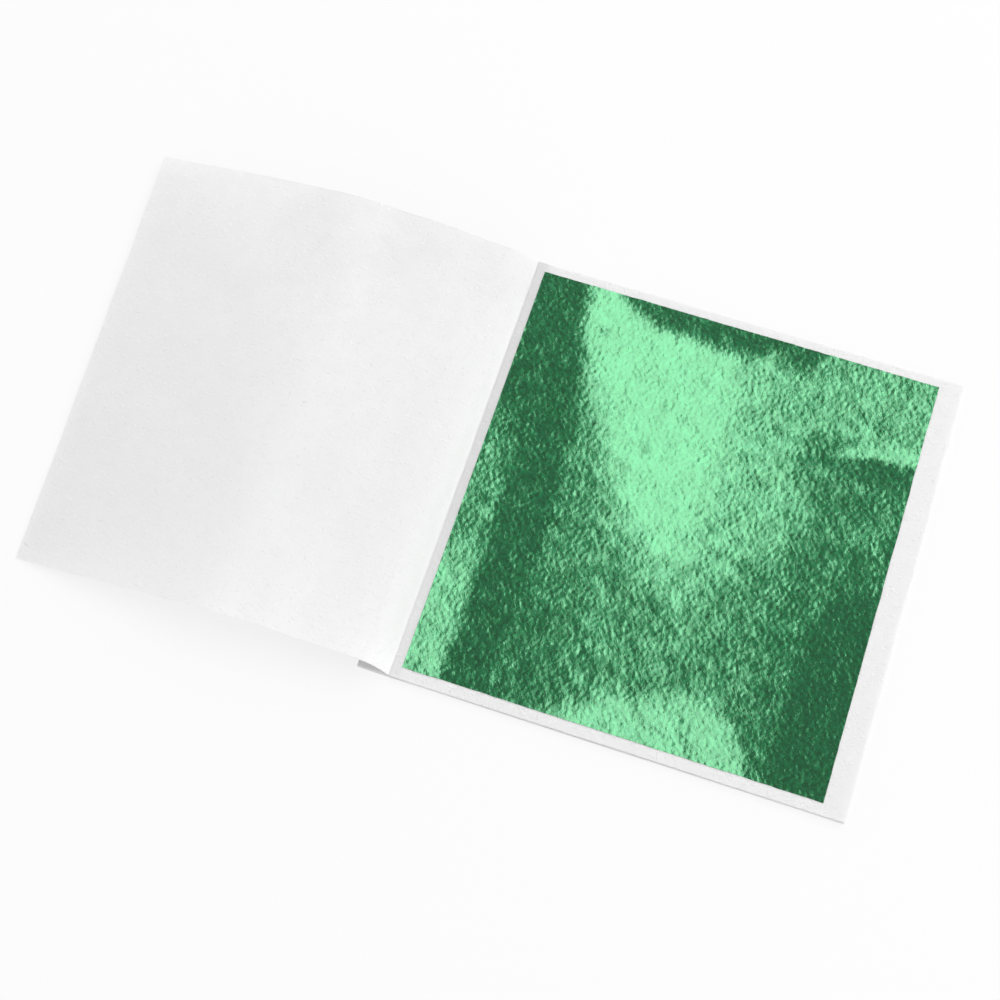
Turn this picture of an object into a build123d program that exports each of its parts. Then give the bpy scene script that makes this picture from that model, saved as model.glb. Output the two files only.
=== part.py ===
from build123d import *
import os

# A booklet of metal leaf, opened at its first leaf. Each leaf lies on a tissue sheet, and the
# next tissue sheet covers it. The sheets are glued into a spine strip along one side, and every
# sheet turns like a page at the edge of that bound margin. The first sheet is turned over, so it
# rises from the fold, bows over to the left and comes down to the table.
#
# Frame: millimetres, +Z up. The origin is on the underside of the back cover, below the fold
# line and half way up the sheets. +X points to the fore edge and +Y to the head.

# Leaves. Real leaf is about a thousandth of a millimetre thick, so its solid is a stand-in.
leaf_width = 80.0
leaf_height = 85.0
leaf_thickness = 0.008
leaf_count = 25

# Bare tissue that shows round a leaf
gutter_margin = 2.0
fore_margin = 4.6
head_margin = 1.75
foot_margin = 2.2

# Tissue sheets
tissue_thickness = 0.035
sheet_air = 0.005
hinge_gap = 0.3

# Binding
bound_margin = 5.85
cover_thickness = 0.2
glue_thickness = 0.1
strip_thickness = 0.12
strip_reach = 4.8

# The turned first sheet is cut a little narrower than the others, and a little askew. It is bent
# at its fold line and at three more lines, whose places on the sheet are shares of its width.
first_sheet_short = 2.4
foot_trim = 2.1
band_gap = 0.05
head_fold_shares = (0, 0.076, 0.172, 0.63)
foot_fold_shares = (0, 0.102, 0.177, 0.463)
fold_turns = (110.0, 88.0, -23.0, 17.0)
band_names = ("gutter_band", "ridge_band", "middle_band", "fore_band")

# Worked out from the sizes above
flap_width = gutter_margin + leaf_width + fore_margin
sheet_height = foot_margin + leaf_height + head_margin
sheet_pitch = tissue_thickness + leaf_thickness + sheet_air
sheet_count = leaf_count + 1
head_edge = sheet_height / 2
foot_edge = -sheet_height / 2
spine_face = -bound_margin


def block(x_from, x_to, y_from, y_to, z_from, z_to):
    """A square-cornered piece between two corners."""
    solid = Box(x_to - x_from, y_to - y_from, z_to - z_from, align=(Align.MIN, Align.MIN, Align.MIN))
    return Pos(x_from, y_from, z_from) * solid


def sheet_level(number):
    """The underside of a tissue sheet with the booklet shut. Sheet 1 is the top one."""
    return cover_thickness + (sheet_count - number) * sheet_pitch


def tissue(number, x_from, x_to):
    """A full-height stretch of one tissue sheet."""
    level = sheet_level(number)
    return block(x_from, x_to, foot_edge, head_edge, level, level + tissue_thickness)


def leaf(number):
    """Leaf 1 is the top one. Each leaf lies on the sheet after its own number."""
    level = sheet_level(number + 1) + tissue_thickness
    return block(
        gutter_margin,
        gutter_margin + leaf_width,
        foot_edge + foot_margin,
        head_edge - head_margin,
        level,
        level + leaf_thickness,
    )


def bound_margins():
    """The glued margins of all the sheets, each a solid of its own."""
    return Compound([tissue(number, spine_face, 0) for number in range(1, sheet_count + 1)])


def spine_glue():
    """A film of padding glue on the cut ends of the margins."""
    top = sheet_level(1) + tissue_thickness
    return block(spine_face - glue_thickness, spine_face, foot_edge, head_edge, 0, top)


def spine_strip():
    """A paper strip down the spine, folded over onto the top margin."""
    top = sheet_level(1) + tissue_thickness
    outer = spine_face - glue_thickness - strip_thickness
    inner = spine_face - glue_thickness
    spine = block(outer, inner, foot_edge, head_edge, 0, top + strip_thickness)
    over = block(inner, inner + strip_reach, foot_edge, head_edge, top, top + strip_thickness)
    return spine + over


def back_cover():
    return block(spine_face, flap_width, foot_edge, head_edge, 0, cover_thickness)


def first_sheet_width(at_foot):
    """From the fold line to the fore edge of the first sheet, at its head or at its foot."""
    width = flap_width - first_sheet_short
    return width - foot_trim if at_foot else width


def fold_points(fold):
    """Where a fold of the first sheet meets its head and foot edges, with the sheet laid flat."""
    level = sheet_level(1) + tissue_thickness / 2
    head = Vector(head_fold_shares[fold] * first_sheet_width(False), head_edge, level)
    foot = Vector(foot_fold_shares[fold] * first_sheet_width(True), foot_edge, level)
    return head, foot


def band_outline(band):
    """The flat outline of the part of the first sheet between two folds."""
    head_start, foot_start = fold_points(band)
    if band + 1 < len(fold_turns):
        head_end, foot_end = fold_points(band + 1)
        end_gap = band_gap
    else:
        head_end = Vector(first_sheet_width(False), head_edge, head_start.Z)
        foot_end = Vector(first_sheet_width(True), foot_edge, head_start.Z)
        end_gap = 0
    start_step = Vector(band_gap, 0, 0)
    end_step = Vector(end_gap, 0, 0)
    return [
        head_start + start_step,
        head_end - end_step,
        foot_end - end_step,
        foot_start + start_step,
    ]


def turned_band(band):
    """One flat band of the first sheet, folded up with all the bands before it."""
    drop = Vector(0, 0, tissue_thickness / 2)
    corners = [corner - drop for corner in band_outline(band)]
    face = Face(Wire.make_polygon(corners, close=True))
    solid = extrude(face, amount=tissue_thickness, dir=(0, 0, 1))
    for fold in range(band, -1, -1):
        head, foot = fold_points(fold)
        solid = solid.rotate(Axis(head, foot - head), fold_turns[fold])
    return solid


def save(shape, name):
    export_step(shape, f"parts/{name}.step")


os.makedirs("parts", exist_ok=True)
save(back_cover(), "back_cover")
save(bound_margins(), "bound_margins")
save(spine_glue(), "spine_glue")
save(spine_strip(), "spine_strip")
for band, band_name in enumerate(band_names):
    save(turned_band(band), f"tissue_01_{band_name}")
for number in range(2, sheet_count + 1):
    save(tissue(number, hinge_gap, flap_width), f"tissue_{number:02d}")
for number in range(1, leaf_count + 1):
    save(leaf(number), f"leaf_{number:02d}")
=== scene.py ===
"""Looks of an open booklet of green metal leaf.

Lengths are in millimetres until a mesh is made. The floor and the lamp are in metres.
"""

import bpy
import numpy as np
from mathutils import Matrix, Vector

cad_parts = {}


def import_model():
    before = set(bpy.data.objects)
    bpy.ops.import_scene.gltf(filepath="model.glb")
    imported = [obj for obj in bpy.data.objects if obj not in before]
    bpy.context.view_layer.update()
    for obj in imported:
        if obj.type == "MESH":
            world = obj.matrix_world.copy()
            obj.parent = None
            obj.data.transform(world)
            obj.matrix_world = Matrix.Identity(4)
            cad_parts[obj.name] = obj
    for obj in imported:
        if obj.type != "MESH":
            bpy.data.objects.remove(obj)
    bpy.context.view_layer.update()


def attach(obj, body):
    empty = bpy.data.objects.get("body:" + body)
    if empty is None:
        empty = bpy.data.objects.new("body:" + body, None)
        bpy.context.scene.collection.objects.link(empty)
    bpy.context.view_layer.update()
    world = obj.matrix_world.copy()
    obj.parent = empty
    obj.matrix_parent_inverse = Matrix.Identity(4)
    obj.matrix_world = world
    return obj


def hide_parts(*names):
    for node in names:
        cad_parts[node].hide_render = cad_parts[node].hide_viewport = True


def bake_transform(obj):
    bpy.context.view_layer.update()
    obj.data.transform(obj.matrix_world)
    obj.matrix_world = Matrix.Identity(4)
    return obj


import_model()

MM = 0.001

# Sizes that the CAD part has too
SHEETS = 26
TISSUE, LEAF, AIR, COVER = 0.035, 0.008, 0.005, 0.2
GUTTER, LEAF_WIDE, FORE = 2.0, 80.0, 4.6
HEAD, LEAF_HIGH, FOOT = 1.75, 85.0, 2.2
HINGE_GAP = 0.3
BOUND, GLUE, STRIP, STRIP_REACH = 5.85, 0.1, 0.12, 4.8
PITCH = TISSUE + LEAF + AIR
FLAP = GUTTER + LEAF_WIDE + FORE
SHEET_HIGH = HEAD + LEAF_HIGH + FOOT
HEAD_EDGE, FOOT_EDGE = SHEET_HIGH / 2, -SHEET_HIGH / 2
LEAF_LEFT, LEAF_RIGHT = GUTTER, GUTTER + LEAF_WIDE
LEAF_LOW, LEAF_TOP = FOOT_EDGE + FOOT, HEAD_EDGE - HEAD

# The bound margins end a little short of their flaps, which leaves the flaps room to turn.
# Sheet 2 breaks a little nearer the spine, so that it covers the slots below it. Sheet 1 has no
# break, and its margin only reaches to where the turned sheet starts.
MARGIN_END = 0.2
TOP_MARGIN_END, TOP_FLAP_START = 0.12, 0.24
FIRST_MARGIN_END = -1.25

# How far cut edges wander, and how far a sheet lies out of line with the block
EDGE_WANDER = 0.05
LEAF_EDGE_WANDER = 0.07
SHEET_SHIFT = 0.09

# How far apart the patterns of two sheets are on the paper, in x, y and depth
TISSUE_STEP = (37.0, 11.0, 5.0)
LEAF_STEP = (23.0, -17.0, 3.0)

# How much darker tissue is where its painted shade is full: the shade painted beside the gutter and
# towards the turned sheet's head
PAINTED_SHADE_DEPTH = 0.22

# The top leaf: the points of its grid and how far apart they are, how deep its creases are, how
# far it lies off the tissue, and which way its creases run
LEAF_GRID = (296, 315)
LEAF_SPACING = 0.27
LEAF_RELIEF = 0.16
LEAF_CLEAR = 0.002
CREASE_TURN = np.radians(-42)

# The turned sheet at rest: points on its middle surface at its head and foot edges
BOW_KNOTS = (0, 0.03, 0.08, 0.15, 0.25, 0.4, 0.58, 0.78, 1.0)
BOW_HEAD = (
    (0.0, 44.48, 1.42), (-0.18, 44.47, 1.61), (-2.86, 44.38, 3.35),
    (-10.73, 44.31, 4.64), (-14.1, 44.48, 4.98), (-27.94, 44.39, 6.38),
    (-41.42, 43.86, 7.58), (-70.4, 43.53, 3.12), (-79.54, 43.32, 1.49),
)
BOW_FOOT = (
    (0.0, -44.48, 1.42), (-0.55, -44.49, 2.39), (-4.15, -44.46, 5.98),
    (-15.08, -44.58, 7.35), (-22.17, -44.49, 8.07), (-27.64, -44.7, 8.5),
    (-34.28, -44.75, 8.72), (-45.59, -44.8, 6.38), (-74.68, -44.79, 0.29),
)
# Its part inside the binding and its fold: x, and height above the fold's level. The bow takes
# over a little above the last of them.
BOUND_X = (-1.3, -1.0, -0.7, -0.45, -0.25, -0.12, -0.05, 0.0, 0.022, 0.018)
BOUND_RISE = (0, 0, 0, 0, 0, 0, 0, 0, 0.02, 0.045)
BOW_RISE = 0.07
# Its four pieces, with the steps of each along the sheet and the CAD bodies at their bends
BANDS = ("gutter_band", "ridge_band", "middle_band", "fore_band")
BAND_STEPS = (10, 34, 34, 60)
TURNED_COLUMNS = 91
# Where it bends from one CAD body to the next, from weight 0 to weight 1
BEND_ZONES = (
    ((0.0, 0.0, 1.47), (0.0, 0.0, 1.92)),
    ((-2.19, 0.0, 7.43), (-3.48, -0.02, 8.06)),
    ((-6.24, -0.09, 7.17), (-12.27, -0.19, 6.45)),
    ((-24.72, -0.33, 7.54), (-51.34, -0.64, 6.58)),
)
# Its slack: wave length, seed of the noise, and spread
SLACK = ((22.0, 5, 0.06), (10.0, 6, 0.015))

# The spine strip's bend over the block, how far strip and glue keep off the table, and how far
# the glue ends below the block's top
STRIP_BEND = 0.16
STRIP_OFF_TABLE, GLUE_OFF_TABLE = 0.004, 0.003
GLUE_BELOW_TOP = 0.004

# The studio: how bright its walls and its ceiling are, the upward part of a direction at which
# the walls end and the ceiling starts, and the softbox in metres and watts
WALL_LIGHT, CEILING_LIGHT = 1.0, 0.215
WALLS_END, CEILING_STARTS = 0.5, 0.85
KEY_PLACE, KEY_SIZE, KEY_WATTS = (0.65, 0.60, 1.2), (1.2, 1.4), 15.0

# The floor: half its width in metres, its grey, and the share of what is seen of it that is
# plain white light instead
FLOOR_HALF = 3.0
FLOOR_GREY = 0.9
FLOOR_GLOW = 0.8

# The camera, fitted to the corners of the leaf in the photo
CAMERA_PLACE = (52.04, -119.33, 340.855)
CAMERA_RIGHT = (0.94837, 0.31681, -0.01488)
CAMERA_FORWARD = (-0.12009, 0.31527, -0.94137)
CAMERA_LENS, CAMERA_SENSOR = 68.4, 36.0

# The slope at which each point of the leaf mirrors the softbox's left edge into the camera comes
# from where the two are: their x, how far off they are, and the upward part of the sum of the
# two directions to them.
SOFTBOX_EDGE_X, SOFTBOX_AWAY = 50, 1250
CAMERA_X, CAMERA_AWAY = 52, 361
BOTH_UPWARDS = 1.88

# How far the top leaf's slack tips it for a lean of 1, as a slope
LEAN = 0.13
# Small slack everywhere: spread of the lean, wave length, seed of the noise, and stretch
SMALL_SLACK = ((0.07, 9.0, 61, 1.3), (0.12, 4.0, 62, 1.4))
# Where the soft side of the leaf's dark band ends, as points (y, x)
DARK_BAND_SIDE = ((-43, 30), (-10, 27), (0, 24), (10, 20), (16, 17))
# The fields of bright and dark on the top leaf, each laid over those before it: name, lean and
# bounds. A bound is a side, the edge that it is measured from and how softly the field ends, or
# else the name of a field that it keeps out of. The edges are drawn. Those for above and
# below have points (x, y), and those for left and right have points (y, x).
LEAN_FIELDS = (
    ("head end of the right half", -0.05, (
        ("above", ((40, 22), (60, 24), (82, 26)), 5.0),
    )),
    ("dark right half", -0.55, (
        ("right", ((-45, 66), (-10, 63), (20, 59), (30, 58)), 3.5),
        ("below", ((55, 24), (66, 26), (82, 27)), 2.5),
    )),
    ("darkest corner", -1.15, (
        ("right", ((-45, 70), (-20, 69), (0, 74), (10, 80)), 3.0),
        ("below", ((60, 4), (82, 0)), 8.0),
    )),
    ("beside the darkest corner", -0.64, (
        ("right", ((0, 64),), 2.0),
        ("below", ((0, 4), (82, 4)), 5.0),
        ("outside", "darkest corner", None),
    )),
    ("strip before the dark right half", -0.46, (
        ("right", ((0, 56),), 2.0),
        ("left", ((0, 64),), 2.0),
        ("below", ((0, 17), (82, 17)), 3.0),
    )),
    ("great highlight", 0.08, (
        ("left", ((-16, 49), (-9, 52), (0, 61), (10, 64), (22, 59), (30, 56), (37, 54)), 5.0),
        ("right", (
            (-16, 46), (-12, 38.5), (-8, 33.5), (-3, 29.5), (3, 25.5), (12, 21.5), (20, 17.8),
            (27, 15.6), (33, 13.4), (38, 12), (43, 11.2),
        ), 4.0),
        ("above", ((20, -22), (60, -18)), 8.0),
    )),
    ("core of the highlight", 0.68, (
        ("left", ((-14, 38), (-6, 43), (0, 45), (10, 47), (22, 46), (30, 45), (37, 44)), 5.0),
        ("above", ((30, -1), (40, -8), (50, -9)), 5.0),
        ("right", (
            (-14, 47), (-5, 37), (5, 29), (13, 25.5), (20, 21), (27, 17), (33, 14), (43, 12),
        ), 3.6),
    )),
    ("dark band", -0.98, (
        ("left", (
            (-43, 19), (-10, 20), (0, 19.5), (10, 18), (20, 16.6), (27, 14.6), (33, 12.9),
            (43, 11.0),
        ), 2.4),
    )),
    ("soft side of the dark band", -0.46, (
        ("left", DARK_BAND_SIDE, 5.0),
        ("outside", "dark band", None),
        ("below", ((0, 12), (82, 12)), 5.0),
    )),
    ("its darker foot end", -0.72, (
        ("left", DARK_BAND_SIDE, 5.0),
        ("outside", "dark band", None),
        ("below", ((0, -20), (82, -20)), 6.0),
    )),
    ("strip at the gutter", -0.38, (
        ("left", ((-43, 9.6), (-15, 9.4), (0, 8.5), (20, 6)), 2.0),
        ("below", ((0, 16), (9, 5)), 6.0),
    )),
    ("its bright foot end", 0.16, (
        ("left", ((-43, 9.0), (-25, 8.6), (-12, 6.5), (0, 5.5)), 1.4),
        ("below", ((0, -14), (9, -20)), 6.0),
    )),
    ("shade along the head edge", -0.92, (
        ("above", (
            (17, 43.5), (21, 40.5), (26, 38.2), (40, 37.4), (46, 37.0), (50, 40.5), (54, 38.0),
            (58, 37.5), (60, 44),
        ), 2.4),
        ("right", ((0, 17.5),), 1.2),
    )),
    ("streak near the fore edge", 0.3, (
        ("right", ((0, 67),), 2.0),
        ("above", ((66, 22), (74, 24.6), (82, 25.2)), 0.7),
        ("below", ((66, 24), (74, 28), (82, 29)), 1.6),
    )),
    ("fold of shade under the streak", -0.95, (
        ("right", ((0, 69),), 2.5),
        ("above", ((66, 18), (82, 19.5)), 1.6),
        ("below", ((66, 21.4), (74, 23.9), (82, 24.4)), 0.6),
    )),
    ("bright field at the foot", 0.34, (
        ("below", (
            (26, -44), (33, -40.0), (40, -35.4), (46, -33.4), (52, -31.4), (58, -31.0),
            (62, -33.6), (66, -38.5), (68, -44),
        ), 3.2),
    )),
)
LEAN_ELSEWHERE = -0.36


def level(number):
    """The underside of a tissue sheet. Sheet 1 is the top one."""
    return COVER + (SHEETS - number) * PITCH


BLOCK_TOP = level(1) + TISSUE
FOLD_LEVEL = level(1) + TISSUE / 2


def smooth_noise(shape, spacing, wave, seed, stretch=1.0):
    """Random relief on a grid, of about the wave length given, with mean 0 and spread 1.

    With a stretch its crests run longer from high y at low x to low y at high x.
    """
    random = np.random.default_rng(seed).standard_normal(shape)
    fx = np.fft.fftfreq(shape[0], spacing)[:, None] * wave
    fy = np.fft.fftfreq(shape[1], spacing)[None, :] * wave
    along = fx * np.cos(CREASE_TURN) + fy * np.sin(CREASE_TURN)
    across = fy * np.cos(CREASE_TURN) - fx * np.sin(CREASE_TURN)
    f = np.hypot(along * stretch, across / stretch)
    band = np.exp(-((f - 1.0) / 0.45) ** 2)
    out = np.fft.ifft2(np.fft.fft2(random) * band).real
    out -= out.mean()
    return out / out.std()


def wander(count, seed, wave=9):
    """A smooth random line of so many points, whose largest value is 1 or -1."""
    random = np.random.default_rng(seed).standard_normal(count + 4 * wave)
    kernel = np.hanning(2 * wave + 1)
    line = np.convolve(random, kernel / kernel.sum(), "same")[2 * wave: 2 * wave + count]
    return line / max(1e-9, np.abs(line).max())


def natural_spline(knots, points, at):
    """A natural cubic spline through the points."""
    x, y = np.array(knots, float), np.array(points, float)
    n, h = len(x), np.diff(x)
    a, b = np.eye(n), np.zeros_like(y)
    for i in range(1, n - 1):
        a[i, i - 1: i + 2] = h[i - 1], 2 * (h[i - 1] + h[i]), h[i]
        b[i] = 6 * ((y[i + 1] - y[i]) / h[i] - (y[i] - y[i - 1]) / h[i - 1])
    m = np.linalg.solve(a, b)
    at = np.asarray(at, float)
    k = np.clip(np.searchsorted(x, at, "right") - 1, 0, n - 2)
    left, right, step = (x[k + 1] - at)[..., None], (at - x[k])[..., None], h[k][..., None]
    return (
        m[k] * left**3 / (6 * step) + m[k + 1] * right**3 / (6 * step)
        + (y[k] / step - m[k] * step / 6) * left + (y[k + 1] / step - m[k + 1] * step / 6) * right
    )


def smooth_step(x, low, high):
    """0 up to low, 1 from high on, and a smooth rise between."""
    t = np.clip((x - low) / (high - low), 0, 1)
    return t * t * (3 - 2 * t)


def add_mesh(name, points, faces, material, marks, values=None, normals=None):
    """A smooth mesh object. marks are the points' places on the flat paper, in mm."""
    mesh = bpy.data.meshes.new(name)
    mesh.from_pydata((np.asarray(points) * MM).tolist(), [], faces)
    mesh.update()
    mesh.polygons.foreach_set("use_smooth", [True] * len(mesh.polygons))
    if normals is None:
        sharpen_rims(mesh)
    else:
        mesh.normals_split_custom_set_from_vertices(normals.tolist())
    attribute = mesh.attributes.new("paper_at", "FLOAT_VECTOR", "POINT")
    attribute.data.foreach_set("vector", np.asarray(marks, np.float32).ravel())
    for key, value in (values or {}).items():
        attribute = mesh.attributes.new(key, "FLOAT", "POINT")
        attribute.data.foreach_set("value", np.asarray(value, np.float32).ravel())
    mesh.materials.append(material)
    ob = bpy.data.objects.new(name, mesh)
    bpy.context.scene.collection.objects.link(ob)
    return ob


def sharpen_rims(mesh):
    """Marks a sheet's edges beside its rim as sharp, so that the rim doesn't shade its sides."""
    normals = np.zeros(len(mesh.polygons) * 3)
    mesh.polygons.foreach_get("normal", normals)
    normals = normals.reshape(-1, 3)
    edges, corners = np.zeros(len(mesh.loops), int), np.zeros(len(mesh.polygons), int)
    mesh.loops.foreach_get("edge_index", edges)
    mesh.polygons.foreach_get("loop_total", corners)
    faces = np.repeat(np.arange(len(mesh.polygons)), corners)
    order = np.argsort(edges, kind="stable")
    edges, faces = edges[order], faces[order]
    same = np.nonzero(edges[1:] == edges[:-1])[0]
    turned = np.einsum("ij,ij->i", normals[faces[same]], normals[faces[same + 1]]) < 0.5
    sharp = np.zeros(len(mesh.edges), bool)
    sharp[edges[same[turned]]] = True
    attribute = mesh.attributes.new("sharp_edge", "BOOLEAN", "EDGE")
    attribute.data.foreach_set("value", sharp)


def grid_normals(p):
    """Unit normals of a grid of points."""
    du, dv = np.gradient(p, axis=0), np.gradient(p, axis=1)
    n = np.cross(du, dv)
    return n / np.maximum(np.linalg.norm(n, axis=2, keepdims=True), 1e-12)


def sheet_faces(rows, columns, start=0):
    """Faces of a closed thin sheet whose two sides are grids of points, the upper side first."""
    size = rows * columns
    i, j = np.meshgrid(np.arange(rows - 1), np.arange(columns - 1), indexing="ij")
    a = (i * columns + j).ravel() + start
    faces = np.stack([a, a + columns, a + columns + 1, a + 1], 1).tolist()
    b = a + size
    faces += np.stack([b, b + 1, b + columns + 1, b + columns], 1).tolist()
    rim = list(range(columns))
    rim += [k * columns + columns - 1 for k in range(1, rows)]
    rim += [(rows - 1) * columns + k for k in range(columns - 2, -1, -1)]
    rim += [k * columns for k in range(rows - 2, 0, -1)]
    for p, q in zip(rim, rim[1:] + rim[:1]):
        faces.append([start + p, start + q, start + q + size, start + p + size])
    return faces


def thin_sheet(name, upper, lower, marks, material, values=None, normals=None):
    """A closed thin sheet. Its sides share marks and values, and normals are the upper side's."""
    rows, columns = upper.shape[:2]
    if normals is not None:
        normals = np.concatenate([normals.reshape(-1, 3), -normals.reshape(-1, 3)])
    points = np.concatenate([upper.reshape(-1, 3), lower.reshape(-1, 3)])
    marks = np.concatenate([marks.reshape(-1, 3)] * 2)
    values = {k: np.concatenate([v.ravel()] * 2) for k, v in (values or {}).items()}
    return add_mesh(name, points, sheet_faces(rows, columns), material, marks, values, normals)


def two_sides(x, y, z, thickness):
    """The upper and the lower side of a sheet whose underside is at z."""
    return np.stack([x, y, z + thickness], 2), np.stack([x, y, z], 2)


def paper_marks(x, y, number=0, step=TISSUE_STEP):
    """Places on the flat paper, far enough apart that no two sheets have the same pattern."""
    depth = np.full(x.shape, number * step[2])
    return np.stack([x + number * step[0], y + number * step[1], depth], 2)


def cut_outline(x_from, x_to, y_from, y_to, grid, seed, loose=True, wander_by=EDGE_WANDER):
    """x and y of a grid over a hand-cut rectangle. Its first edge, at x_from, stays put."""
    rows, columns = grid
    random = np.random.default_rng(seed)
    a, b = np.linspace(0, 1, rows)[:, None], np.linspace(0, 1, columns)[None, :]
    shift = random.uniform(-SHEET_SHIFT, SHEET_SHIFT, 2) if loose else np.zeros(2)
    far = wander(columns, seed + 11) * wander_by + shift[0]
    low = wander(rows, seed + 12) * wander_by + shift[1]
    top = wander(rows, seed + 13) * wander_by + shift[1]
    x = x_from + (x_to - x_from + far[None, :]) * a
    y = (y_from + low[:, None]) * (1 - b) + (y_to + top[:, None]) * b
    return x, np.broadcast_to(y, x.shape)


class Nodes:
    """A short way to write a material's node tree."""

    def __init__(self, name):
        self.material = bpy.data.materials.new(name)
        self.material.use_nodes = True
        self.tree = self.material.node_tree
        self.tree.nodes.clear()

    def fill(self, node, inputs):
        for key, value in inputs.items():
            if isinstance(value, bpy.types.NodeSocket):
                self.tree.links.new(value, node.inputs[key])
            else:
                node.inputs[key].default_value = value

    def add(self, kind, inputs=None, out=0, **settings):
        """A node's output. inputs are values or other nodes' outputs."""
        node = self.tree.nodes.new("ShaderNode" + kind)
        for key, value in settings.items():
            setattr(node, key, value)
        self.fill(node, inputs or {})
        return node.outputs[out]

    def math(self, operation, a, b=0.5, clamp=False):
        return self.add("Math", {0: a, 1: b}, operation=operation, use_clamp=clamp)

    def attribute(self, name, out):
        return self.add("Attribute", attribute_name=name, out=out)

    def noise(self, at, size, detail=2.0, rough=0.5, warp=0.0):
        """Noise between 0 and 1 whose patches are about size mm across."""
        inputs = {
            "Vector": at, "Scale": 1 / size, "Detail": detail, "Roughness": rough,
            "Distortion": warp,
        }
        return self.add("TexNoise", inputs)

    def spread(self, value, low, high, to_low=0.0, to_high=1.0):
        """Maps low to to_low and high to to_high, with a smooth rise between."""
        inputs = {
            "Value": value, "From Min": low, "From Max": high, "To Min": to_low,
            "To Max": to_high,
        }
        return self.add("MapRange", inputs, interpolation_type="SMOOTHSTEP")

    def mix(self, factor, a, b):
        """A mix of two colours. The node's colour sockets are numbers 6 and 7, and 2 going out."""
        node = self.tree.nodes.new("ShaderNodeMix")
        node.data_type = "RGBA"
        self.fill(node, {0: factor, 6: a, 7: b})
        return node.outputs[2]

    def bump(self, height, distance, strength=1.0, normal=None):
        inputs = {"Height": height, "Distance": distance * MM, "Strength": strength}
        if normal is not None:
            inputs["Normal"] = normal
        return self.add("Bump", inputs)

    def finish(self, shader):
        output = self.tree.nodes.new("ShaderNodeOutputMaterial")
        self.tree.links.new(shader, output.inputs["Surface"])
        return self.material


def grey(value, warm=0.0):
    return (value + warm, value, value - warm, 1)


def paper(name, dark, light, rough, relief, fibre=0.5, warm=0.0, see_through=0.0):
    """Paper with clouds, fibres, a fine tooth and small specks. Light passes through thin paper."""
    n = Nodes(name)
    at = n.attribute("paper_at", out=1)
    cloud = n.noise(at, 7.0, detail=5.0, rough=0.62, warp=0.4)
    long_way = n.add("Mapping", {"Vector": at, "Scale": (0.35, 1.6, 1.0), "Rotation": (0, 0, 0.5)})
    cross_way = n.add(
        "Mapping", {"Vector": at, "Scale": (1.7, 0.4, 1.0), "Rotation": (0, 0, -0.35)}
    )
    fibres = n.math(
        "MAXIMUM",
        n.noise(long_way, 0.7, detail=3.0, rough=0.6, warp=1.2),
        n.noise(cross_way, 0.8, detail=3.0, rough=0.6, warp=1.2),
    )
    tooth = n.noise(at, 0.35, detail=3.0, rough=0.6)
    lumps = n.spread(n.noise(at, 0.8, detail=1.0, rough=0.4), 0.62, 0.69)
    pits = n.spread(n.noise(at, 0.7, detail=1.0, rough=0.4), 0.32, 0.25)
    specks = n.math("SUBTRACT", lumps, pits)

    thick_fibres = n.math("MULTIPLY", n.spread(fibres, 0.5, 0.8), fibre)
    tone = n.math("ADD", n.spread(cloud, 0.35, 0.68), thick_fibres)
    tone = n.math("ADD", tone, n.math("MULTIPLY", tooth, 0.35))
    tone = n.math("DIVIDE", tone, 1.35 + fibre, clamp=True)
    tone = n.math("ADD", tone, n.math("MULTIPLY", specks, 1.5), clamp=True)
    colour = n.mix(tone, grey(dark, warm), grey(light, warm))
    # Painted shade: the colour is mixed towards black by the sheet's painted-shade values, which
    # stand for shade beside the gutter and towards the turned sheet's head.
    painted_shade = n.math("MULTIPLY", n.attribute("painted_shade", out=2), PAINTED_SHADE_DEPTH, clamp=True)
    colour = n.mix(painted_shade, colour, (0, 0, 0, 1))

    cockle = n.noise(at, 3.0, detail=3.0, rough=0.5)
    height = n.math("ADD", n.math("MULTIPLY", fibres, 0.6), n.math("MULTIPLY", tooth, 0.5))
    height = n.math("ADD", height, n.math("MULTIPLY", cockle, 1.5))
    height = n.math("ADD", height, n.math("MULTIPLY", specks, 1.6))

    shader = n.add("BsdfPrincipled", {
        "Base Color": colour,
        "Roughness": n.spread(cloud, 0.3, 0.7, rough - 0.06, rough + 0.06),
        "Specular IOR Level": 0.25,
        "Subsurface Weight": see_through,
        "Subsurface Radius": (1.0, 1.0, 1.0),
        "Subsurface Scale": 0.05 * MM,
        "Normal": n.bump(height, relief, strength=0.6),
    })
    return n.finish(shader)


def padding_glue():
    n = Nodes("padding_glue")
    at = n.attribute("paper_at", out=1)
    lumps = n.noise(at, 1.2, detail=4.0, rough=0.6, warp=0.5)
    shader = n.add("BsdfPrincipled", {
        "Base Color": n.mix(lumps, (0.80, 0.79, 0.75, 1), (0.92, 0.92, 0.90, 1)),
        "Roughness": n.spread(lumps, 0.3, 0.7, 0.3, 0.45),
        "Normal": n.bump(lumps, 0.05, strength=0.7),
    })
    return n.finish(shader)


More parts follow.
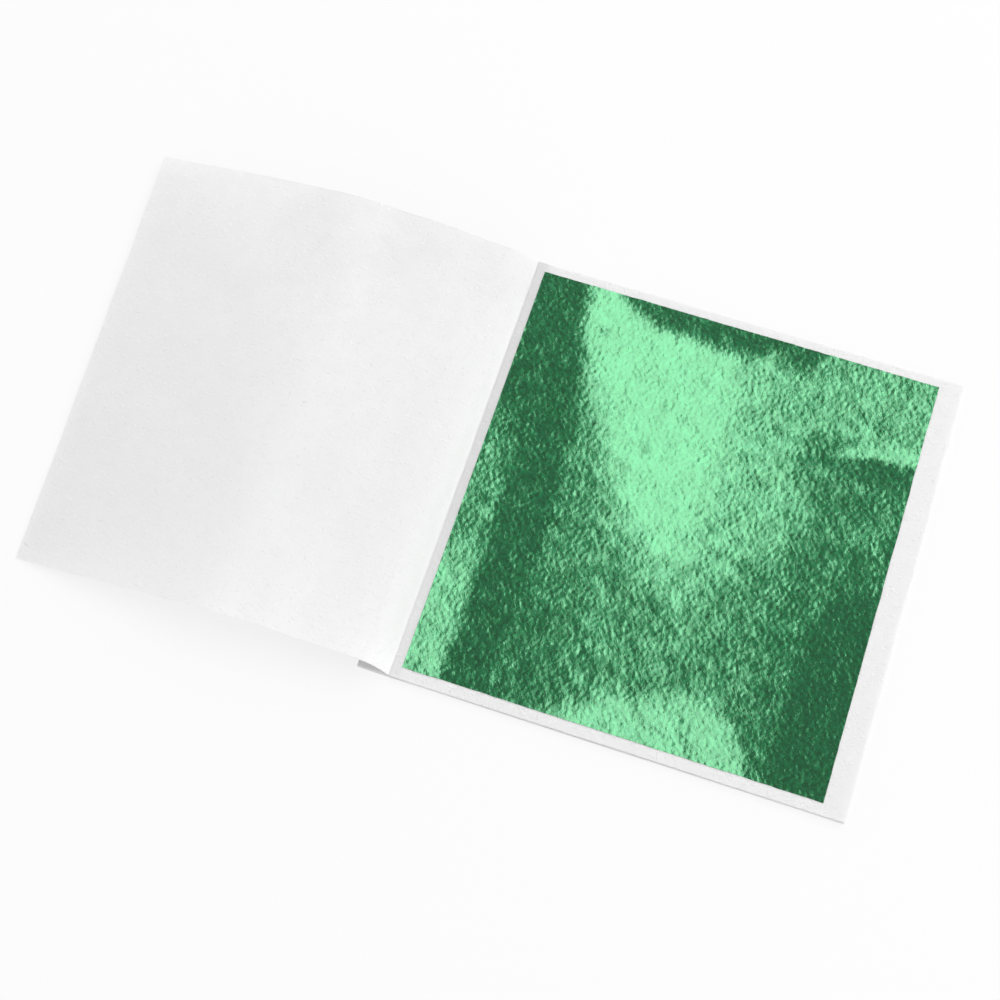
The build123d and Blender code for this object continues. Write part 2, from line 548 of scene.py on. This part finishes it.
def green_foil():
    """Green lacquer over metal. lean tips the surface towards +X, as the leaf's slack does."""
    n = Nodes("green_leaf")
    at = n.attribute("paper_at", out=1)
    lean = n.attribute("lean", out=2)
    across = n.add(
        "VectorTransform", {"Vector": (1, 0, 0)},
        vector_type="VECTOR", convert_from="OBJECT", convert_to="WORLD",
    )
    tipped = n.add("VectorMath", {0: across, "Scale": lean}, operation="SCALE")
    normal = n.add("NewGeometry", out=1)
    normal = n.add("VectorMath", {0: normal, 1: tipped}, operation="ADD")
    normal = n.add("VectorMath", {0: normal}, operation="NORMALIZE")
    turned = n.add(
        "Mapping", {"Vector": at, "Rotation": (0, 0, CREASE_TURN), "Scale": (1.35, 0.8, 1.0)},
        vector_type="TEXTURE",
    )
    wrinkle = n.noise(turned, 0.8, detail=3.0, rough=0.6, warp=0.6)
    grain = n.noise(turned, 0.3, detail=2.0, rough=0.6)
    normal = n.bump(wrinkle, 0.06, normal=normal)
    normal = n.bump(grain, 0.03, normal=normal)
    patch = n.spread(n.noise(at, 6.0, detail=4.0, rough=0.6), 0.3, 0.7)
    dullness = n.spread(n.noise(at, 0.9, detail=3.0), 0.3, 0.7, 0.24, 0.32)
    shader = n.add("BsdfPrincipled", {
        "Base Color": n.mix(patch, (0.006, 0.245, 0.070, 1), (0.010, 0.270, 0.085, 1)),
        "Metallic": 1.0,
        "Roughness": dullness,
        "Normal": normal,
        "Coat Weight": 1.0,
        "Coat Roughness": 0.12,
        "Coat IOR": 1.9,
        "Coat Normal": normal,
    })
    return n.finish(shader)


TISSUE_PAPER = paper(
    "tissue_paper", dark=0.94, light=0.99, rough=0.74, relief=0.05, see_through=1.0
)
COVER_PAPER = paper(
    "cover_paper", dark=0.82, light=0.90, rough=0.80, relief=0.04, fibre=0.7, warm=0.004
)
STRIP_PAPER = paper("strip_paper", dark=0.955, light=0.99, rough=0.70, relief=0.03, fibre=0.6)
PADDING_GLUE = padding_glue()
GREEN_FOIL = green_foil()


def bow_point(u, t):
    """A point of the turned sheet: u from fold to fore edge, t from foot to head."""
    head, foot = natural_spline(BOW_KNOTS, BOW_HEAD, u), natural_spline(BOW_KNOTS, BOW_FOOT, u)
    return foot * (1 - t)[..., None] + head * t[..., None]


def zone_share(points, zone):
    """How far points are through a bend zone, from 0 at its start to 1 at its end."""
    start, end = (np.array(p) for p in BEND_ZONES[zone])
    along = end - start
    return ((points - start) @ along) / (along @ along)


def band_joins(t):
    """u where each column starts, passes from piece to piece midway between bends, and ends."""
    fine = np.linspace(0, 1, 3000)
    joins = np.zeros((len(BANDS) + 1, len(t)))
    for j in range(len(t)):
        line = bow_point(fine, np.full(len(fine), t[j]))
        joins[0, j] = fine[np.argmax(line[:, 2] > FOLD_LEVEL + BOW_RISE)]
        for zone in range(len(BANDS) - 1):
            done = fine[np.argmax(zone_share(line, zone) >= 1)]
            begun = fine[np.argmax(zone_share(line, zone + 1) > 0)]
            joins[zone + 1, j] = 0.5 * (done + begun)
    joins[-1] = 1
    return joins


def turned_middle(t):
    """The turned sheet's middle surface before slack, from inside the binding to its fore edge."""
    joins = band_joins(t)
    rows_u = []
    for zone, steps in enumerate(BAND_STEPS):
        share = np.linspace(0, 1, steps + 1)[1 if zone else 0:, None]
        rows_u.append(joins[zone][None, :] * (1 - share) + joins[zone + 1][None, :] * share)
    u = np.concatenate(rows_u)
    bow = bow_point(u, np.broadcast_to(t, u.shape))
    bound = np.zeros((len(BOUND_X), len(t), 3))
    bound[..., 0] = np.array(BOUND_X)[:, None]
    bound[..., 1] = FOOT_EDGE + SHEET_HIGH * t[None, :]
    bound[..., 2] = FOLD_LEVEL + np.array(BOUND_RISE)[:, None]
    return np.concatenate([bound, bow])


def slack_relief(run, wave, seed):
    """Soft relief over the flat paper, at each point's distance from the bound end."""
    places = np.arange(0.0, run.max() + 2)
    field = smooth_noise((len(places), run.shape[1]), 1.0, wave, seed)
    lines = [natural_spline(places, field[:, [j]], run[:, j])[:, 0] for j in range(run.shape[1])]
    return np.stack(lines, 1)


def turned_painted_shade(run, up_page):
    """Painted shade: a little greyer towards the head, most of all on the half of the sheet beside
    the fold.

    run is how far a point is from the bound end, and up_page its height up the sheet, in mm.
    """
    beside_fold = (0.5 + 0.5 * smooth_step(run, 7, 29)) * (1 - smooth_step(run, 43, 69))
    head_grey = (0.38 - 0.19 * smooth_step(run, 21, 51)) * smooth_step(up_page, 22, 44)
    return 0.32 * beside_fold * smooth_step(up_page, -10, 30) + head_grey


def turned_sheet():
    t = np.linspace(0, 1, TURNED_COLUMNS)
    middle = turned_middle(t)
    rows, columns = middle.shape[:2]
    steps = np.linalg.norm(np.diff(middle, axis=0), axis=2)
    run = np.concatenate([np.zeros((1, columns)), np.cumsum(steps, axis=0)])
    # Slack in the paper, away from the fold, and the wander of its cut edges
    slack = sum(slack_relief(run, wave, seed) * spread for wave, seed, spread in SLACK)
    middle = middle + grid_normals(middle) * (slack * smooth_step(run, 4, 18))[..., None]
    edge = smooth_step(run, 3, 10)
    middle[:, 0, 1] -= wander(rows, 31) * EDGE_WANDER * edge[:, 0]
    middle[:, -1, 1] += wander(rows, 32) * EDGE_WANDER * edge[:, -1]
    middle[-1, :, 0] += wander(columns, 33) * EDGE_WANDER
    normals = grid_normals(middle)
    up, down = middle + normals * TISSUE / 2, middle - normals * TISSUE / 2
    up_page = np.broadcast_to(FOOT_EDGE + SHEET_HIGH * t[None, :], run.shape)
    marks = np.stack([run, up_page, np.zeros_like(run)], 2)
    # Painted shade on the turned sheet: greyer towards the head, most of all beside the fold
    painted_shade = turned_painted_shade(run, up_page)
    # Each piece ends on the row where the next one starts
    ends = np.cumsum([len(BOUND_X), *BAND_STEPS]) + 1
    ends[0] = 0
    for zone, name in enumerate(BANDS):
        first, last = (0 if zone == 0 else ends[zone] - 1), ends[zone + 1]
        part = slice(first, last)
        ob = thin_sheet(
            f"turned_sheet_{name}", up[part], down[part], marks[part], TISSUE_PAPER,
            {"painted_shade": painted_shade[part]}, normals[part],
        )
        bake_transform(ob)
        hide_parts(f"tissue_01_{name}")


def tissue_sheet(number):
    """The flap of a tissue sheet. Sheet 2, the top one, lifts a little at head and fore edge."""
    grid = (60, 60) if number == 2 else (30, 30)
    starts_at = TOP_FLAP_START if number == 2 else HINGE_GAP
    x, y = cut_outline(starts_at, FLAP, FOOT_EDGE, HEAD_EDGE, grid, 100 + number)
    z = np.full(x.shape, level(number))
    if number == 2:
        fore_lift = 0.10 + 0.05 * wander(grid[1], 41)[None, :]
        curl = smooth_step(x, LEAF_RIGHT + 0.6, FLAP) * fore_lift
        curl += smooth_step(y, LEAF_TOP + 0.2, HEAD_EDGE) * smooth_step(x, 4, 12) * 0.05
        z = z + curl
    top, bottom = two_sides(x, y, z, TISSUE)
    # Painted shade: greyer along the gutter beside the fold, less towards the foot
    in_gutter = 1 - smooth_step(x, GUTTER - 0.3, GUTTER + 0.4)
    painted_shade = in_gutter * (0.6 + 0.4 * smooth_step(y, FOOT_EDGE, 0))
    marks = paper_marks(x, y, number)
    ob = thin_sheet(
        f"tissue_sheet_{number:02d}", top, bottom, marks, TISSUE_PAPER, {"painted_shade": painted_shade}
    )
    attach(ob, f"page_{number:02d}")
    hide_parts(f"tissue_{number:02d}")


def lower_leaf(number):
    x, y = cut_outline(LEAF_LEFT, LEAF_RIGHT, LEAF_LOW, LEAF_TOP, (24, 24), 300 + number)
    z = np.full(x.shape, level(number + 1) + TISSUE)
    top, bottom = two_sides(x, y, z, LEAF)
    marks = paper_marks(x, y, number, LEAF_STEP)
    ob = thin_sheet(f"metal_leaf_{number:02d}", top, bottom, marks, GREEN_FOIL)
    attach(ob, f"page_{number + 1:02d}")
    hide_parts(f"leaf_{number:02d}")


def leaf_lean(x, y):
    """The slope by which the top leaf tips towards +X, which makes its bright and dark fields."""
    lean = np.full(x.shape, LEAN_ELSEWHERE)
    masks = {}
    for name, value, bounds in LEAN_FIELDS:
        mask = np.ones(x.shape)
        for side, edge, soft in bounds:
            if side == "outside":
                within = 1 - masks[edge]
            else:
                at, place = (y, x) if side in ("left", "right") else (x, y)
                along, across = np.array(edge, float).T
                within = 1 - smooth_step(place - np.interp(at, along, across), -soft, soft)
                if side in ("right", "above"):
                    within = 1 - within
            mask = mask * within
        masks[name] = mask
        lean = lean * (1 - mask) + value * mask
    for spread, wave, seed, stretch in SMALL_SLACK:
        lean = lean + spread * smooth_noise(x.shape, LEAF_SPACING, wave, seed, stretch)
    mirror_lean = (
        (SOFTBOX_EDGE_X - x) / SOFTBOX_AWAY + (CAMERA_X - x) / CAMERA_AWAY
    ) / BOTH_UPWARDS
    return mirror_lean + LEAN * lean


def top_leaf():
    x, y = cut_outline(
        LEAF_LEFT, LEAF_RIGHT, LEAF_LOW, LEAF_TOP, LEAF_GRID, 7,
        loose=False, wander_by=LEAF_EDGE_WANDER,
    )

    def noise(wave, seed, stretch=1.0):
        return smooth_noise(LEAF_GRID, LEAF_SPACING, wave, seed, stretch)

    # Sharp ridges where two of the noises pass through 0, and finer relief over them
    creases = -0.5 * np.abs(noise(3.2, 51, 1.3))
    creases += -0.6 * np.abs(noise(1.7, 52, 1.2))
    creases += 0.4 * noise(1.15, 53, 1.1) + 0.2 * noise(0.8, 54)
    creases -= creases.min()
    relief = creases / creases.max() * LEAF_RELIEF
    z = level(2) + TISSUE + LEAF_CLEAR + relief
    top, bottom = two_sides(x, y, z, LEAF)
    lean = leaf_lean(x, y)
    ob = thin_sheet("metal_leaf_01", top, bottom, paper_marks(x, y), GREEN_FOIL, {"lean": lean})
    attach(ob, "leaf_01")
    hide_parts("leaf_01")


def block_sheets():
    tissue_sheet(2)
    top_leaf()
    for number in range(3, SHEETS + 1):
        tissue_sheet(number)
        lower_leaf(number - 1)


def bound_margins():
    """The glued margins of all the sheets. All but the first reach to just short of their flaps."""
    points, faces, marks = [], [], []
    count = 0
    grid = (6, 60)
    for number in range(1, SHEETS + 1):
        x_to = {1: FIRST_MARGIN_END, 2: TOP_MARGIN_END}.get(number, MARGIN_END)
        x, y = cut_outline(
            -BOUND, x_to, FOOT_EDGE, HEAD_EDGE, grid, 500 + number, loose=False, wander_by=0
        )
        sides = two_sides(x, y, np.full(x.shape, level(number)), TISSUE)
        faces += sheet_faces(*grid, count)
        points += [side.reshape(-1, 3) for side in sides]
        marks += [paper_marks(x, y, number).reshape(-1, 3)] * 2
        count += 2 * x.size
    ob = add_mesh(
        "bound_sheet_margins", np.concatenate(points), faces, TISSUE_PAPER, np.concatenate(marks)
    )
    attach(ob, "binding")
    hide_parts("bound_margins")


def ribbon(name, line, half, material, seed, shake):
    """A strip along a line in x and z, as long as the spine. half is half its thickness."""
    columns = 70
    line = np.array(line, float)
    middle = np.zeros((len(line), columns, 3))
    middle[..., 0], middle[..., 2] = line[:, :1], line[:, 1:]
    middle[..., 1] = np.linspace(FOOT_EDGE, HEAD_EDGE, columns)[None, :]
    middle[:, 0, 1] += wander(len(line), seed + 1, 3) * shake
    middle[:, -1, 1] += wander(len(line), seed + 2, 3) * shake
    middle[-1, :, 0] += wander(columns, seed) * shake
    normals = grid_normals(middle)
    run = np.concatenate([[0], np.cumsum(np.linalg.norm(np.diff(line, axis=0), axis=1))])
    along = np.broadcast_to(run[:, None] + seed, middle.shape[:2])
    marks = np.stack([along, middle[..., 1], middle[..., 2] * 0], 2)
    return thin_sheet(name, middle + normals * half, middle - normals * half, marks, material)


def spine_strip():
    """Up the spine, round a small bend and over the block's top margin."""
    outer = -BOUND - GLUE - STRIP / 2
    over = BLOCK_TOP + STRIP / 2
    bend_from = over - STRIP_BEND
    line = [(outer, z) for z in np.linspace(STRIP_OFF_TABLE, bend_from, 8)]
    line += [
        (outer + STRIP_BEND * (1 - np.cos(a)), bend_from + STRIP_BEND * np.sin(a))
        for a in np.linspace(0.2, np.pi / 2, 8)
    ]
    line += [(x, over) for x in np.linspace(outer + 0.4, -BOUND - GLUE + STRIP_REACH, 14)]
    ob = ribbon("spine_paper_strip", line, STRIP / 2, STRIP_PAPER, 71, 0.05)
    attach(ob, "binding")
    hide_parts("spine_strip")


def spine_glue():
    heights = np.linspace(GLUE_OFF_TABLE, BLOCK_TOP - GLUE_BELOW_TOP, 16)
    line = [(-BOUND - GLUE / 2, z) for z in heights]
    ob = ribbon("spine_padding_glue", line, GLUE / 2, PADDING_GLUE, 75, 0.04)
    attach(ob, "binding")
    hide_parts("spine_glue")


def back_cover():
    x, y = cut_outline(-BOUND, FLAP, FOOT_EDGE, HEAD_EDGE, (60, 60), 81, loose=False)
    top, bottom = two_sides(x, y, np.zeros(x.shape), COVER)
    ob = thin_sheet("back_cover_board", top, bottom, paper_marks(x, y), COVER_PAPER)
    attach(ob, "binding")
    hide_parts("back_cover")


def floor():
    """A white floor, as pale as the photo's background and with part of its shadows left."""
    mesh = bpy.data.meshes.new("floor")
    s = FLOOR_HALF
    mesh.from_pydata([(-s, -s, 0), (s, -s, 0), (s, s, 0), (-s, s, 0)], [], [(0, 1, 2, 3)])
    n = Nodes("floor_white")
    path = n.tree.nodes.new("ShaderNodeLightPath")
    seen = n.math("MAXIMUM", path.outputs["Is Camera Ray"], path.outputs["Is Glossy Ray"])
    seen = n.math("MAXIMUM", seen, path.outputs["Is Transmission Ray"])
    diffuse = n.add("BsdfDiffuse", {"Color": grey(FLOOR_GREY)})
    glow = n.add("Emission", {"Color": (1, 1, 1, 1), "Strength": 1.0})
    share = n.math("MULTIPLY", seen, FLOOR_GLOW)
    mesh.materials.append(n.finish(n.add("MixShader", {0: share, 1: diffuse, 2: glow})))
    ob = bpy.data.objects.new("floor", mesh)
    bpy.context.scene.collection.objects.link(ob)


def world():
    """Pale all round and dimmer overhead, where a studio's ceiling is."""
    w = bpy.data.worlds.new("studio")
    bpy.context.scene.world = w
    w.use_nodes = True
    tree = w.node_tree
    tree.nodes.clear()
    coordinate = tree.nodes.new("ShaderNodeTexCoord")
    split = tree.nodes.new("ShaderNodeSeparateXYZ")
    tree.links.new(coordinate.outputs["Generated"], split.inputs[0])
    fall = tree.nodes.new("ShaderNodeMapRange")
    fall.interpolation_type = "SMOOTHSTEP"
    fall.inputs["From Min"].default_value = WALLS_END
    fall.inputs["From Max"].default_value = CEILING_STARTS
    fall.inputs["To Min"].default_value = WALL_LIGHT
    fall.inputs["To Max"].default_value = CEILING_LIGHT
    tree.links.new(split.outputs["Z"], fall.inputs["Value"])
    sky = tree.nodes.new("ShaderNodeBackground")
    tree.links.new(fall.outputs[0], sky.inputs["Strength"])
    sky.inputs["Color"].default_value = (1, 1, 1, 1)
    out = tree.nodes.new("ShaderNodeOutputWorld")
    tree.links.new(sky.outputs[0], out.inputs["Surface"])


def key_softbox():
    """Points straight down. The top leaf is bright where it mirrors the softbox."""
    data = bpy.data.lights.new("key_softbox", "AREA")
    data.shape = "RECTANGLE"
    data.size, data.size_y = KEY_SIZE
    data.energy = KEY_WATTS
    ob = bpy.data.objects.new("key_softbox", data)
    ob.location = KEY_PLACE
    ob.visible_camera = False
    bpy.context.scene.collection.objects.link(ob)


def camera():
    data = bpy.data.cameras.new("camera")
    data.sensor_width = CAMERA_SENSOR
    data.lens = CAMERA_LENS
    data.clip_start, data.clip_end = 0.01, 20.0
    ob = bpy.data.objects.new("camera", data)
    right = Vector(CAMERA_RIGHT).normalized()
    forward = Vector(CAMERA_FORWARD).normalized()
    up = right.cross(forward).normalized()
    right = forward.cross(up)
    turn = Matrix((right, up, -forward)).transposed().to_4x4()
    ob.matrix_world = Matrix.Translation(Vector(CAMERA_PLACE) * MM) @ turn
    bpy.context.scene.collection.objects.link(ob)
    bpy.context.scene.camera = ob


camera()
floor()
world()
key_softbox()
turned_sheet()
block_sheets()
bound_margins()
spine_strip()
spine_glue()
back_cover()
bpy.context.scene.view_settings.view_transform = "Standard"
